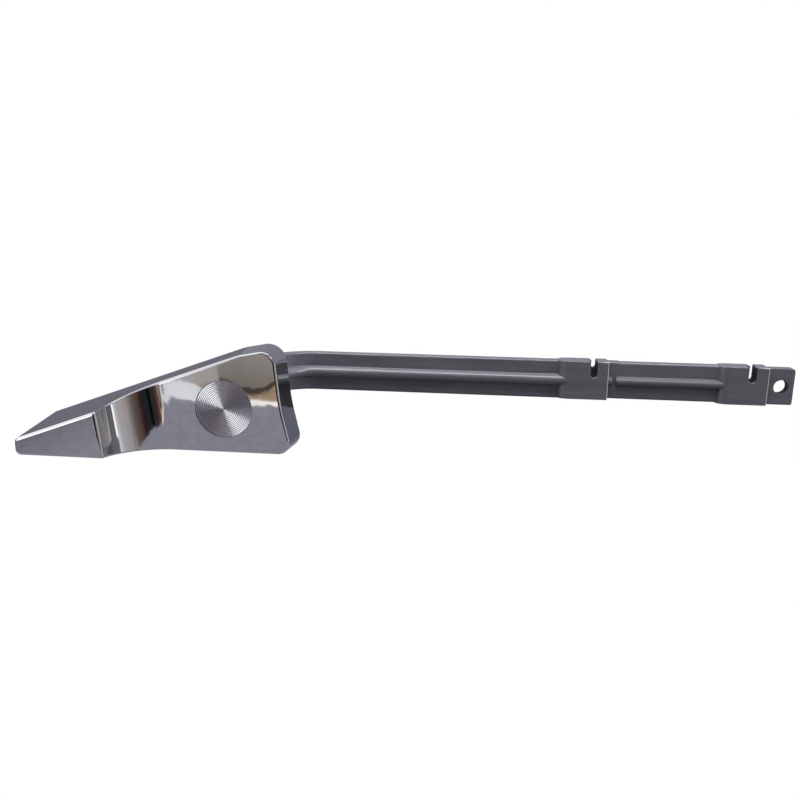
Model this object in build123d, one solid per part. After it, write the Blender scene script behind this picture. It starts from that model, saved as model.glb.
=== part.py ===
from build123d import *
import math
import os

# Cistern lever: a chromed handle, a moulded lever arm and the threaded bushing that
# clamps both to the front wall of a cistern. Millimetres. The pivot runs along Y, the
# cistern's outer face is the plane Y = 0, the handle is on the -Y side, +Z is up.

# Handle, seen from the front: each wall is a line at a reach from the pivot, given by the
# angle of its outward normal. The reach is at the plane of the flat face and the draft
# widens the outline towards the cistern.
top_reach = 13.27
top_angle = 109.8
top_draft = 5.9
crown_reach = 14.6
crown_angle = 101.0
crown_draft = 5.7
right_reach = 16.95
right_angle = 6.0
right_draft = 5.6
heel_reach = 16.75
heel_angle = 13.0
heel_draft = 5.6
bottom_reach = 13.1
bottom_angle = -90.0
bottom_draft = 2.3
tip_reach = 57.45
tip_angle = 180.0
tip_draft = 0.7
tip_radius = 1.6
knee_radius = 12.0
crown_corner_radius = 4.2
crown_corner_widening = 0.23
waist_radius = 70.0
lower_corner_radius = 5.5
handle_depth = 9.5
handle_rim_gap = 2.5
handle_wall = 1.7
handle_edge_chamfer = 0.5

# Front form of the handle: flat face, concave scoop and the proud paddle.
paddle_rise = 12.7
scoop_radius = 15.0
scoop_start = 17.5
scoop_lean = 7.0
cavity_tip_wall = 8.5

# Hub of the handle with the square socket, the screw and the spun disc that hides it.
hub_radius = 6.6
rib_width = 1.6
rib_end_gap = 0.8
left_rib_reach = 30.0
socket_side = 7.0
socket_clearance = 0.08
socket_floor = 2.2
tenon_end_gap = 0.3
disc_radius = 8.4
disc_thickness = 0.8
disc_proud = 0.1
disc_clearance = 0.08
screw_radius = 1.5
screw_clearance = 0.1
screw_head_radius = 3.0
screw_head_height = 1.4
screw_head_sink = 1.5
screw_length = 13.0
screw_drive_width = 0.9
screw_drive_span = 3.6
screw_drive_depth = 0.8
pilot_clearance = 0.05
pilot_spare = 1.0

# Bushing, gasket, washer and nut that clamp the cistern wall.
wall_gap = 8.0
gasket_thickness = 2.2
gasket_radius = 11.5
flange_thickness = 2.2
flange_radius = 11.0
neck_side = 15.6
neck_corner_radius = 3.0
neck_length = 5.6
neck_clearance = 0.1
sleeve_radius = 7.7
sleeve_end = 24.0
sleeve_chamfer = 0.8
hub_end_gap = 0.4
washer_thickness = 1.2
washer_radius = 12.0
washer_clearance = 0.1
nut_height = 6.8
nut_flats = 22.0
nut_chamfer = 0.9
thread_clearance = 0.05

# Stops: the lower rib of the hub swings between two lugs on the flange.
lever_travel = 30.0
stop_play = 0.5
lug_inner_radius = 8.2
lug_outer_radius = 10.6
lug_height = 2.4
lug_span = 26.0

# Lever arm: square tenon, round journal, bend and ribbed arm with two slotted blocks.
# Depths run along Y, places along X from the pivot, tops and bottoms along Z.
journal_radius = 5.0
journal_clearance = 0.08
journal_end = 31.0
shaft_web_start = 26.0
shaft_web_slope = 2.0
arm_depth = 48.5
arm_reach = 179.5
bend_radius = 15.0
web_thickness = 3.6
web_edge_chamfer = 0.8
arm_top = 7.0
arm_bottom = -6.6
step_length = 3.5
outer_top = 6.8
outer_bottom = -6.15
rib_depth = 3.7
rib_root = 1.95
rib_crest = 1.15
bead_depth = 3.5
bead_root = 1.65
bead_crest = 0.9
bead_notch_gap = 1.4
bead_notch_width = 1.4
block_thickness = 7.5
block_shoulder = 4.0
block_edge_radius = 0.3
first_block_start = 100.6
first_block_length = 16.9
first_block_top = 7.05
first_block_bottom = -6.35
second_block_length = 16.1
second_block_top = 6.75
second_block_bottom = -6.3
end_plate_length = 9.0
end_plate_top = 6.45
end_plate_bottom = -6.15
end_corner_radius = 1.2
first_slot_inset = 5.05
first_slot_width = 2.3
first_slot_floor = 1.45
first_slot_rear_floor = 4.1
second_slot_inset = 5.4
second_slot_width = 2.6
second_slot_floor = 1.5
second_slot_lip = 0.6
hole_inset = 4.2
hole_radius = 2.45

rim_y = -handle_rim_gap
face_y = rim_y - handle_depth
crest_y = face_y - paddle_rise
flange_rear = -gasket_thickness
flange_front = flange_rear - flange_thickness
hub_end = flange_front - hub_end_gap
rib_end = flange_front - rib_end_gap
disc_floor = face_y + disc_thickness - disc_proud
socket_end = disc_floor + socket_floor
head_seat = disc_floor + screw_head_sink
screw_end = head_seat + screw_length
nut_front = wall_gap + washer_thickness
nut_rear = nut_front + nut_height
bend_start = arm_depth - bend_radius
first_block_end = first_block_start + first_block_length
outer_start = first_block_end + step_length
second_block_end = arm_reach - end_plate_length
second_block_start = second_block_end - second_block_length
steepest_wall = 0.25
spare = 1.0
far = 200.0

walls = {
    "top": (top_angle, top_reach, top_draft),
    "crown": (crown_angle, crown_reach, crown_draft),
    "right": (right_angle, right_reach, right_draft),
    "heel": (heel_angle, heel_reach, heel_draft),
    "bottom": (bottom_angle, bottom_reach, bottom_draft),
    "tip": (tip_angle, tip_reach, tip_draft),
}


def upright(y):
    """Sketch plane at one depth: its x is X and its y is Z."""
    return Plane.XZ.offset(-y)


def wall_line(name, y, inset):
    """Unit normal and reach of one wall of the handle's outline at depth y."""
    angle, reach, draft = walls[name]
    normal = (math.cos(math.radians(angle)), math.sin(math.radians(angle)))
    return normal, reach + (y - face_y) * math.tan(math.radians(draft)) - inset


def corner(first, second, y, insets):
    """Where two walls of the outline meet at depth y."""
    (a, b), p = wall_line(first, y, insets[first])
    (c, d), q = wall_line(second, y, insets[second])
    size = a * d - b * c
    return ((p * d - b * q) / size, (a * q - p * c) / size)


def rounded(corners):
    """Closed outline through (point, radius) corners, each one turned by a tangent arc."""
    starts = []
    ends = []
    ways = []
    for i, (point, radius) in enumerate(corners):
        here = Vector(*point)
        into = (here - Vector(*corners[i - 1][0])).normalized()
        out = (Vector(*corners[(i + 1) % len(corners)][0]) - here).normalized()
        reach = radius * math.tan(math.radians(into.get_angle(out)) / 2)
        starts.append(here - into * reach)
        ends.append(here + out * reach)
        ways.append(into)
    edges = []
    for i in range(len(corners)):
        edges.append(TangentArc(starts[i], ends[i], tangent=ways[i]))
        edges.append(Line(ends[i], starts[(i + 1) % len(corners)]))
    return make_face(edges)


def handle_outline(y, wall=0.0, tip_wall=0.0):
    """The handle's closed outline at depth y, moved inwards by its wall for the cavity."""
    insets = {name: wall for name in walls}
    insets["tip"] = tip_wall
    least = 0.4
    crown_radius = max(crown_corner_radius + (y - face_y) * crown_corner_widening - wall, least)
    outline = rounded(
        [
            (corner("bottom", "tip", y, insets), max(tip_radius - wall, least)),
            (corner("tip", "top", y, insets), max(tip_radius - wall, least)),
            (corner("top", "crown", y, insets), knee_radius - wall),
            (corner("crown", "right", y, insets), crown_radius),
            (corner("right", "heel", y, insets), waist_radius + wall),
            (corner("heel", "bottom", y, insets), lower_corner_radius - wall),
        ]
    )
    return upright(y) * outline


def front_space(inset):
    """Space in front of the handle, seen along the scoop: flat face, then the scoop's quarter turn."""
    deep = 2 * paddle_rise
    start = (-scoop_start, 0.0)
    middle = (
        -scoop_start - scoop_radius * math.sin(math.radians(45)),
        -scoop_radius + scoop_radius * math.cos(math.radians(45)),
    )
    edge = (-scoop_start - scoop_radius, -scoop_radius)
    front = (-scoop_start - scoop_radius, -deep)
    space = make_face(
        [
            Line((far, 0.0), start),
            ThreePointArc(start, middle, edge),
            Line(edge, front),
            Line(front, (far, -deep)),
            Line((far, -deep), (far, 0.0)),
        ]
    )
    if inset:
        space = offset(space, amount=inset, kind=Kind.INTERSECTION)
    lean = math.radians(scoop_lean)
    level = Plane(
        origin=(0, face_y, 0),
        x_dir=(math.cos(lean), 0, math.sin(lean)),
        z_dir=(-math.sin(lean), 0, math.cos(lean)),
    )
    return extrude(level * space, amount=far, both=True)


def post(sketch, start, end):
    """A sketch in X and Z drawn out along Y from one depth to another."""
    return extrude(upright(start) * sketch, amount=start - end)


def hexagon(flats):
    """Hexagon with two of its flats facing along X."""
    return Rot(0, 0, 30) * RegularPolygon(flats / 2, 6, major_radius=False)


def sector(start, end):
    """Flat sector of the stop ring between two angles in degrees."""
    points = [(0, 0)]
    for angle in (start, end):
        way = math.radians(angle)
        points.append((2 * lug_outer_radius * math.cos(way), 2 * lug_outer_radius * math.sin(way)))
    ring = Circle(lug_outer_radius) - Circle(lug_inner_radius)
    return ring & make_face(Polyline(*points, close=True))


def make_handle():
    """Hollow chromed handle with its hub, ribs, square socket and disc recess."""
    outer = loft([handle_outline(rim_y), handle_outline(crest_y)], ruled=True)
    outer -= front_space(0.0)
    fronts = outer.faces().filter_by(lambda face: face.normal_at().Y < -steepest_wall)
    sides = outer.faces().filter_by(lambda face: abs(face.normal_at().Y) < steepest_wall)
    outer = chamfer(fronts.edges() & sides.edges(), handle_edge_chamfer)
    cavity = loft(
        [
            handle_outline(rim_y + spare, handle_wall, cavity_tip_wall),
            handle_outline(crest_y + handle_wall, handle_wall, cavity_tip_wall),
        ],
        ruled=True,
    )
    cavity -= front_space(handle_wall)
    upright_rib = Rectangle(rib_width, far)
    level_rib = Pos(-left_rib_reach, 0) * Rectangle(far, rib_width, align=(Align.MIN, Align.CENTER))
    cavity -= post(Circle(hub_radius), crest_y, hub_end)
    cavity -= post(upright_rib + level_rib, crest_y, rib_end)
    body = outer - cavity
    body -= post(Circle(disc_radius + disc_clearance), crest_y, disc_floor)
    body -= post(Circle(screw_head_radius + screw_clearance), crest_y, head_seat)
    body -= post(Circle(screw_radius + screw_clearance), crest_y, hub_end)
    socket = socket_side + 2 * socket_clearance
    body -= post(Rectangle(socket, socket), socket_end, hub_end)
    return body


def make_disc():
    """Spun metal disc that covers the screw."""
    return post(Circle(disc_radius), disc_floor - disc_thickness, disc_floor)


def make_screw():
    """Cross-slotted screw that pulls the arm's tenon into the hub."""
    head_front = head_seat - screw_head_height
    body = post(Circle(screw_head_radius), head_front, head_seat)
    body += post(Circle(screw_radius), head_seat, screw_end)
    drive = Rectangle(screw_drive_span, screw_drive_width)
    drive += Rectangle(screw_drive_width, screw_drive_span)
    return body - post(drive, head_front, head_front + screw_drive_depth)


def make_bushing():
    """Flanged bushing with a square neck, a sleeve for the nut and the two stop lugs."""
    body = post(Circle(flange_radius), flange_front, flange_rear)
    body += post(RectangleRounded(neck_side, neck_side, neck_corner_radius), flange_rear, neck_length)
    sleeve = post(Circle(sleeve_radius), flange_rear, sleeve_end)
    body += chamfer(sleeve.edges().sort_by(Axis.Y)[-1], sleeve_chamfer)
    half = math.degrees(math.asin(rib_width / 2 / lug_inner_radius)) + stop_play
    rest_side = -90 - half
    pressed_side = -90 + lever_travel + half
    lugs = sector(rest_side - lug_span, rest_side) + sector(pressed_side, pressed_side + lug_span)
    body += post(lugs, flange_front - lug_height, flange_rear)
    return body - post(Circle(journal_radius + journal_clearance), -far, far)


def make_gasket():
    """Soft ring between the flange and the cistern wall."""
    side = neck_side + 2 * neck_clearance
    ring = Circle(gasket_radius) - RectangleRounded(side, side, neck_corner_radius + neck_clearance)
    return post(ring, flange_rear, 0.0)


def make_washer():
    """Plain ring between the cistern wall and the nut."""
    ring = Circle(washer_radius) - Circle(sleeve_radius + washer_clearance)
    return post(ring, wall_gap, nut_front)


def make_nut():
    """Hexagon nut with its corners chamfered, on the bushing's sleeve."""
    blank = post(Circle(nut_flats / math.sqrt(3)), nut_front, nut_rear)
    blank = chamfer(blank.edges().filter_by(GeomType.CIRCLE), nut_chamfer)
    body = blank & post(hexagon(nut_flats), nut_front, nut_rear)
    return body - post(Circle(sleeve_radius + thread_clearance), -far, far)


def web(top, bottom):
    """Cross-section of the arm's upright web: x runs back along Y, y runs up along Z."""
    side = web_thickness / 2
    flat = side - web_edge_chamfer
    return make_face(
        Polyline(
            (-flat, bottom),
            (flat, bottom),
            (side, bottom + web_edge_chamfer),
            (side, top - web_edge_chamfer),
            (flat, top),
            (-flat, top),
            (-side, top - web_edge_chamfer),
            (-side, bottom + web_edge_chamfer),
            close=True,
        )
    )


def rib(depth, root, crest):
    """Cross-section of the arm's level rib, which stands out on both sides of the web."""
    side = web_thickness / 2
    return make_face(
        Polyline(
            (-depth, -crest),
            (-side, -root),
            (side, -root),
            (depth, -crest),
            (depth, crest),
            (side, root),
            (-side, root),
            (-depth, crest),
            close=True,
        )
    )


def across(place):
    """Plane across the arm at one place: x runs back along Y, y runs up along Z."""
    return Plane(origin=(place, arm_depth, 0), x_dir=(0, 1, 0), z_dir=(1, 0, 0))


def run(section, start, end):
    """A cross-section drawn out along the arm between two places."""
    return extrude(across(start) * section, amount=end - start)


def block(start, end, top, bottom):
    """Thick block on the arm, sloped at its left end and square at its right end."""
    slim = web_thickness / 2
    wide = block_thickness / 2
    plan = Polyline(
        (start, arm_depth - slim),
        (start + block_shoulder, arm_depth - wide),
        (end, arm_depth - wide),
        (end, arm_depth + wide),
        (start + block_shoulder, arm_depth + wide),
        (start, arm_depth + slim),
        close=True,
    )
    body = extrude(Plane.XY.offset(bottom) * make_face(plan), amount=top - bottom)
    return fillet(body.edges().filter_by(Axis.Z).group_by(Axis.X)[-1], block_edge_radius)


def slot(place, width, floor, lip, front, rear):
    """Upright slot open at the top, round at its floor, its throat narrowed by a lip."""
    middle = floor + width / 2
    throat = Rectangle(width - lip, far, align=(Align.MIN, Align.MIN))
    shape = Pos(place, middle) * Circle(width / 2)
    shape += Pos(place - width / 2, middle) * throat
    return post(shape, front, rear)


def make_arm():
    """One-piece moulded lever arm, from the square tenon to the holed end plate."""
    body = post(Rectangle(socket_side, socket_side), socket_end + tenon_end_gap, hub_end)
    body += post(Circle(journal_radius), hub_end, journal_end)
    first = web(arm_top, arm_bottom) + rib(rib_depth, rib_root, rib_crest)
    second = web(outer_top, outer_bottom) + rib(bead_depth, bead_root, bead_crest)

    # The same section runs along the shaft, round the bend and out along the arm.
    pivot = Axis((bend_radius, bend_start, 0), (0, 0, 1))
    bend = revolve(across(bend_radius) * first, pivot, revolution_arc=90)
    shaft = Plane(origin=(0, bend_start, 0), x_dir=(-1, 0, 0), z_dir=(0, 1, 0)) * first
    shaft = extrude(shaft, amount=shaft_web_start - bend_start)
    ramp = shaft_web_start + shaft_web_slope
    side = Polyline(
        (shaft_web_start, -journal_radius),
        (ramp, arm_bottom),
        (bend_start, arm_bottom),
        (bend_start, arm_top),
        (ramp, arm_top),
        (shaft_web_start, journal_radius),
        close=True,
    )
    shaft &= extrude(Plane.YZ * make_face(side), amount=far, both=True)
    body += shaft + bend
    body += run(first, bend_radius, first_block_start + block_shoulder)
    body += run(web(arm_top, arm_bottom), first_block_start, outer_start)
    notch_start = first_block_end + bead_notch_gap
    body += run(second, first_block_end, notch_start)
    body += run(second, notch_start + bead_notch_width, second_block_start + block_shoulder)
    body += run(web(outer_top, outer_bottom), first_block_end, second_block_end)
    body += block(first_block_start, first_block_end, first_block_top, first_block_bottom)
    body += block(second_block_start, second_block_end, second_block_top, second_block_bottom)
    plate_long = arm_reach - second_block_start
    plate_middle = (arm_reach + second_block_start) / 2
    plate_high = end_plate_top - end_plate_bottom
    plate = RectangleRounded(plate_long, plate_high, end_corner_radius)
    plate = Pos(plate_middle, (end_plate_top + end_plate_bottom) / 2) * plate
    plate_front = arm_depth - web_thickness / 2
    plate_rear = arm_depth + web_thickness / 2
    body += post(plate, plate_front, plate_rear)

    # Slots for a cord or chain, the end hole and the pilot hole for the screw.
    first_place = first_block_end - first_slot_inset
    second_place = second_block_end - second_slot_inset
    body -= slot(first_place, first_slot_width, first_slot_floor, 0.0, 0.0, arm_depth)
    body -= slot(first_place, first_slot_width, first_slot_rear_floor, 0.0, 0.0, far)
    body -= slot(second_place, second_slot_width, second_slot_floor, 0.0, 0.0, arm_depth)
    body -= slot(second_place, second_slot_width, second_slot_floor, second_slot_lip, 0.0, far)
    body -= post(Pos(arm_reach - hole_inset, 0) * Circle(hole_radius), 0.0, far)
    body -= post(Circle(screw_radius + pilot_clearance), socket_end, screw_end + pilot_spare)
    return body


pieces = {
    "handle": make_handle(),
    "spun_disc": make_disc(),
    "handle_screw": make_screw(),
    "mounting_bushing": make_bushing(),
    "gasket": make_gasket(),
    "nut_washer": make_washer(),
    "mounting_nut": make_nut(),
    "lever_arm": make_arm(),
}

os.makedirs("parts", exist_ok=True)
for name, piece in pieces.items():
    export_step(piece, "parts/" + name + ".step")
    print(name, round(piece.volume, 1), len(piece.solids()), piece.is_valid)
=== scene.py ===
import math

import bpy
import numpy as np
from mathutils import Matrix, Vector


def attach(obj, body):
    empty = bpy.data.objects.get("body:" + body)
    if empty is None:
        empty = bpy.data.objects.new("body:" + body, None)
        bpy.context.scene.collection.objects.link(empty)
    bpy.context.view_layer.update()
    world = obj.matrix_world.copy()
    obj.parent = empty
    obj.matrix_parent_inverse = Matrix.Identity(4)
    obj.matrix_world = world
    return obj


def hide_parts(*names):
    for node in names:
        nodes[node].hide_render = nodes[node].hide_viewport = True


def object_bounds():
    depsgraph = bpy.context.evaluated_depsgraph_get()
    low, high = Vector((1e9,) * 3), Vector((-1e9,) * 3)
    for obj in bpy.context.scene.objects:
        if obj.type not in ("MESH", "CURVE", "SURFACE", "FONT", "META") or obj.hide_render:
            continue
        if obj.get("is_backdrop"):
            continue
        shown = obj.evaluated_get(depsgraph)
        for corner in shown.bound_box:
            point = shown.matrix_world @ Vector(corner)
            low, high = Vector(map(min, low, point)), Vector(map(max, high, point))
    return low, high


mm = 0.001
scene = bpy.context.scene
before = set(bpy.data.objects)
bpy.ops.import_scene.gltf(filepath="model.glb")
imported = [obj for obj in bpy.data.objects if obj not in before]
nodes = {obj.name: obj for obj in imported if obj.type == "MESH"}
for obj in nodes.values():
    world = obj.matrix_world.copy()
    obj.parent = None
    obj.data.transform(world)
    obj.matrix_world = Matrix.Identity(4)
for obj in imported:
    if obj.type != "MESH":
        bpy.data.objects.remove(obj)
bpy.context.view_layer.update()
print("frame loaded:", sorted(nodes))


# sRGB hex to linear red, green, blue, alpha
def colour(text):
    values = np.array([int(text[i : i + 2], 16) for i in (1, 3, 5)]) / 255
    linear = np.where(values <= 0.04045, values / 12.92, ((values + 0.055) / 1.055) ** 2.4)
    return (*linear.tolist(), 1.0)


# one shader node with its settings; a link is (socket, other node, its output), and the stops of a
# colour ramp are (position, sRGB hex)
def addNode(tree, kind, settings=None, links=()):
    node = tree.nodes.new(kind)
    for name, value in (settings or {}).items():
        if name == "stops":
            for stop, (position, shade) in zip(node.color_ramp.elements, value):
                stop.position = position
                stop.color = colour(shade)
        elif name in node.inputs:
            node.inputs[name].default_value = value
        else:
            setattr(node, name, value)
    for socket, other, output in links:
        tree.links.new(other.outputs[output], node.inputs[socket])
    return node


# a material that starts from an empty tree
def newMaterial(name):
    material = bpy.data.materials.new(name)
    material.use_nodes = True
    material.node_tree.nodes.clear()
    return material, material.node_tree


# chromium plate on moulded plastic: a grey mirror, its images a little uneven from the moulding below;
# where the attribute "bare" is 1 the plate is left off, and the grey plastic shows
chrome = {
    "tint": "#c4c5c6",
    "roughness": 0.03,
    "ripple": 3.0,  # width of the moulding's waves
    "rippleHeight": 0.004,
    "bareTint": "#6f6f73",
    "bareRoughness": 0.45,
}
chromeMaterial, tree = newMaterial("chromium_plate")
place = addNode(tree, "ShaderNodeTexCoord")
ripple = addNode(
    tree,
    "ShaderNodeTexNoise",
    {"Scale": 1 / (chrome["ripple"] * mm), "Detail": 1.0, "Roughness": 0.4},
    [("Vector", place, "Object")],
)
bump = addNode(
    tree,
    "ShaderNodeBump",
    {"Strength": 1.0, "Distance": chrome["rippleHeight"] * mm},
    [("Height", ripple, "Fac")],
)
bare = addNode(tree, "ShaderNodeAttribute", {"attribute_name": "bare"})
tint = addNode(
    tree,
    "ShaderNodeMix",
    {"data_type": "RGBA", "A": colour(chrome["tint"]), "B": colour(chrome["bareTint"])},
    [("Factor", bare, "Fac")],
)
plated = addNode(tree, "ShaderNodeMapRange", {"To Min": 1.0, "To Max": 0.0}, [("Value", bare, "Fac")])
gloss = addNode(
    tree,
    "ShaderNodeMapRange",
    {"To Min": chrome["roughness"], "To Max": chrome["bareRoughness"]},
    [("Value", bare, "Fac")],
)
surface = addNode(
    tree,
    "ShaderNodeBsdfPrincipled",
    links=[
        ("Base Color", tint, "Result"),
        ("Metallic", plated, "Result"),
        ("Roughness", gloss, "Result"),
        ("Normal", bump, "Normal"),
    ],
)
addNode(tree, "ShaderNodeOutputMaterial", links=[("Surface", surface, 0)])


# painted light on moulded plastic: painted shade, also used to make the outer rib darker and duller, is
# nearly black and dull; a painted highlight on edges is pale
paintedShadeAndHighlight = {"shadeTint": "#101012", "dullRoughness": 0.8, "dullSheen": 0.05, "highlightTint": "#9c9a9e"}


# moulded plastic: dark grey with a satin sheen, fine flow marks in colour and gloss, a grained surface;
# one attribute says where it is darkened and dulled, as painted shade in recesses and more lightly on the
# outer rib, and another where edges carry a pale painted highlight
def mouldedPlastic(name, look):
    material, tree = newMaterial(name)
    place = addNode(tree, "ShaderNodeTexCoord")
    stretch = addNode(
        tree,
        "ShaderNodeMapping",
        {"Scale": (look["flowRatio"], 1.0, 1.0)},
        [("Vector", place, "Object")],
    )
    flow = addNode(
        tree,
        "ShaderNodeTexNoise",
        {"Scale": 1 / (look["flow"] * mm), "Detail": 3.0},
        [("Vector", stretch, "Vector")],
    )
    grain = addNode(
        tree,
        "ShaderNodeTexNoise",
        {"Scale": 1 / (look["grain"] * mm), "Detail": 2.0},
        [("Vector", place, "Object")],
    )
    tint = addNode(
        tree,
        "ShaderNodeValToRGB",
        {"stops": ((0.3, look["dark"]), (0.7, look["light"]))},
        [("Fac", flow, "Fac")],
    )
    # painted shade: darkens the colour, roughens it and takes the sheen off where the attribute is set
    shadeAndDulling = addNode(tree, "ShaderNodeAttribute", {"attribute_name": "shadeAndDulling"})
    darkened = addNode(
        tree,
        "ShaderNodeMix",
        {"data_type": "RGBA", "B": colour(paintedShadeAndHighlight["shadeTint"])},
        [("Factor", shadeAndDulling, "Fac"), ("A", tint, "Color")],
    )
    # painted highlight: lightens the colour where the attribute is set
    edgeHighlight = addNode(tree, "ShaderNodeAttribute", {"attribute_name": "edgeHighlight"})
    highlighted = addNode(
        tree,
        "ShaderNodeMix",
        {"data_type": "RGBA", "B": colour(paintedShadeAndHighlight["highlightTint"])},
        [("Factor", edgeHighlight, "Fac"), ("A", darkened, "Result")],
    )
    gloss = addNode(
        tree,
        "ShaderNodeMapRange",
        {
            "To Min": look["roughness"] - look["glossSpread"],
            "To Max": look["roughness"] + look["glossSpread"],
        },
        [("Value", flow, "Fac")],
    )
    dulled = addNode(
        tree,
        "ShaderNodeMix",
        {"B": paintedShadeAndHighlight["dullRoughness"]},
        [("Factor", shadeAndDulling, "Fac"), ("A", gloss, "Result")],
    )
    sheen = addNode(
        tree,
        "ShaderNodeMapRange",
        {"To Min": look["sheen"], "To Max": paintedShadeAndHighlight["dullSheen"]},
        [("Value", shadeAndDulling, "Fac")],
    )
    bump = addNode(
        tree,
        "ShaderNodeBump",
        {"Strength": 1.0, "Distance": look["grainHeight"] * mm},
        [("Height", grain, "Fac")],
    )
    surface = addNode(
        tree,
        "ShaderNodeBsdfPrincipled",
        links=[
            ("Base Color", highlighted, "Result"),
            ("Roughness", dulled, "Result"),
            ("Specular IOR Level", sheen, "Result"),
            ("Normal", bump, "Normal"),
        ],
    )
    addNode(tree, "ShaderNodeOutputMaterial", links=[("Surface", surface, 0)])
    return material


armPlastic = mouldedPlastic(
    "moulded_abs_arm",
    {
        "dark": "#47474e",
        "light": "#515159",
        "roughness": 0.26,
        "glossSpread": 0.03,
        "sheen": 0.5,
        "flow": 2.5,  # width of the flow marks
        "flowRatio": 0.12,  # their width over their length
        "grain": 0.35,
        "grainHeight": 0.006,
    },
)
fittingPlastic = mouldedPlastic(
    "moulded_abs_fitting",
    {
        "dark": "#434347",
        "light": "#4c4c51",
        "roughness": 0.36,
        "glossSpread": 0.03,
        "sheen": 0.5,
        "flow": 3.0,
        "flowRatio": 1.0,
        "grain": 0.4,
        "grainHeight": 0.006,
    },
)

# moulded rubber: nearly black and dull, with a fine pitted skin
rubber = {"tint": "#222224", "roughness": 0.75, "pits": 0.5, "pitHeight": 0.03}
rubberMaterial, tree = newMaterial("moulded_rubber")
place = addNode(tree, "ShaderNodeTexCoord")
pits = addNode(
    tree,
    "ShaderNodeTexNoise",
    {"Scale": 1 / (rubber["pits"] * mm), "Detail": 3.0},
    [("Vector", place, "Object")],
)
bump = addNode(
    tree,
    "ShaderNodeBump",
    {"Strength": 0.6, "Distance": rubber["pitHeight"] * mm},
    [("Height", pits, "Fac")],
)
surface = addNode(
    tree,
    "ShaderNodeBsdfPrincipled",
    {"Base Color": colour(rubber["tint"]), "Roughness": rubber["roughness"]},
    [("Normal", bump, "Normal")],
)
addNode(tree, "ShaderNodeOutputMaterial", links=[("Surface", surface, 0)])

# spun aluminium: grooves round the centre draw the light out into two bright fans
spun = {"tint": "#b0b0b3", "roughness": 0.14, "anisotropy": 0.4}
spunMaterial, tree = newMaterial("turned_aluminium")
tangent = addNode(tree, "ShaderNodeTangent", {"direction_type": "RADIAL", "axis": "Y"})
surface = addNode(
    tree,
    "ShaderNodeBsdfPrincipled",
    {
        "Base Color": colour(spun["tint"]),
        "Metallic": 1.0,
        "Roughness": spun["roughness"],
        "Anisotropic": spun["anisotropy"],
    },
    [("Tangent", tangent, "Tangent")],
)
addNode(tree, "ShaderNodeOutputMaterial", links=[("Surface", surface, 0)])

# zinc-plated steel for the hidden screw: pale metal with faint cloudy patches
steel = {"dark": "#a2a2a6", "light": "#c2c2c4", "roughness": 0.3, "cloud": 1.5}
steelMaterial, tree = newMaterial("zinc_plated_steel")
place = addNode(tree, "ShaderNodeTexCoord")
cloud = addNode(
    tree,
    "ShaderNodeTexNoise",
    {"Scale": 1 / (steel["cloud"] * mm), "Detail": 3.0},
    [("Vector", place, "Object")],
)
tint = addNode(
    tree,
    "ShaderNodeValToRGB",
    {"stops": ((0.3, steel["dark"]), (0.7, steel["light"]))},
    [("Fac", cloud, "Fac")],
)
surface = addNode(
    tree,
    "ShaderNodeBsdfPrincipled",
    {"Metallic": 1.0, "Roughness": steel["roughness"]},
    [("Base Color", tint, "Color")],
)
addNode(tree, "ShaderNodeOutputMaterial", links=[("Surface", surface, 0)])
print("materials made")


# vectors divided by their own lengths
def unit(values):
    values = np.asarray(values, float)
    return values / np.maximum(np.linalg.norm(values, axis=-1, keepdims=True), 1e-12)


# columns of numbers side by side, each widened to the shape of the largest
def join(*columns):
    return np.stack(np.broadcast_arrays(*columns), -1)


# points or directions in X and Z, given their Y
def atDepth(points, y):
    return join(points[..., 0], y, points[..., 1])


# a grid of points (rows, columns, 3) as quads, wound to face the way its normals do
def sheet(points, normals):
    points = np.asarray(points, float)
    normals = np.broadcast_to(np.asarray(normals, float), points.shape).reshape(-1, 3)
    rows, columns = points.shape[:2]
    index = np.arange(rows * columns).reshape(rows, columns)
    quads = np.stack([index[:-1, :-1], index[1:, :-1], index[1:, 1:], index[:-1, 1:]], -1).reshape(-1, 4)
    spots = points.reshape(-1, 3)
    facing = np.cross(spots[quads[:, 2]] - spots[quads[:, 0]], spots[quads[:, 3]] - spots[quads[:, 1]])
    if np.sum(facing * normals[quads[:, 0]]) < 0:
        quads = quads[:, ::-1]
    return spots, quads, normals


# one flat face inside a loop of points, wound to face the way its normal does
def cap(points, normal):
    points = np.asarray(points, float)
    facing = np.sum(np.cross(points, np.roll(points, -1, 0)), 0)
    order = np.arange(len(points))
    if facing @ np.asarray(normal, float) < 0:
        order = order[::-1]
    return points, order[None], np.broadcast_to(np.asarray(normal, float), points.shape)


# one mesh from several sheets and caps, given in millimetres, with their own normals
def makePiece(name, parts, material, node, body="lever"):
    starts = np.cumsum([0] + [len(part[0]) for part in parts])
    points = np.concatenate([part[0] for part in parts]) * mm
    normals = np.concatenate([part[2] for part in parts])
    faces = []
    for part, start in zip(parts, starts):
        faces += (part[1] + start).tolist()
    mesh = bpy.data.meshes.new(name)
    mesh.from_pydata(points.tolist(), [], faces)
    mesh.polygons.foreach_set("use_smooth", np.ones(len(faces), bool))
    mesh.normals_split_custom_set_from_vertices(normals.tolist())
    mesh.materials.append(material)
    piece = bpy.data.objects.new(name, mesh)
    scene.collection.objects.link(piece)
    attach(piece, body)
    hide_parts(node)
    return mesh


# one number per point of a mesh, for its material
def markPoints(mesh, name, values):
    layer = mesh.attributes.new(name, "FLOAT", "POINT")
    layer.data.foreach_set("value", values)


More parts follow.
